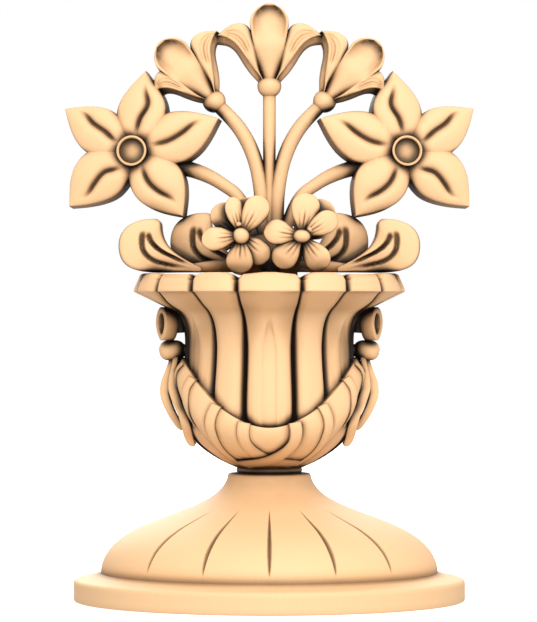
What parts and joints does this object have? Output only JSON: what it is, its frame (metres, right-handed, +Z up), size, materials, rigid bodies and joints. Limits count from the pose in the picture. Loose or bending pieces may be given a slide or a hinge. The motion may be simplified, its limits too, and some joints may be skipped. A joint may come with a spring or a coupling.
{
  "type": "urn ornament",
  "caption": "Carved wooden urn finial: a fluted bowl with ribbon swags on a round ogee foot, holding a flat spray of flowers.",
  "frame": {"origin": "centre of the foot's flat underside", "axes": "+Z up through the urn and the middle flower, -Y is the front, +X is the right seen from the front"},
  "size_m": [0.2454, 0.2346, 0.3582],
  "materials": {
    "foot_wood": "satin",
    "urn_wood": "satin",
    "bouquet_wood": "satin"
  },
  "bodies": {
    "root": {"foot": "foot_wood", "urn": "urn_wood", "bouquet": "bouquet_wood"}
  },
  "joints": []
}
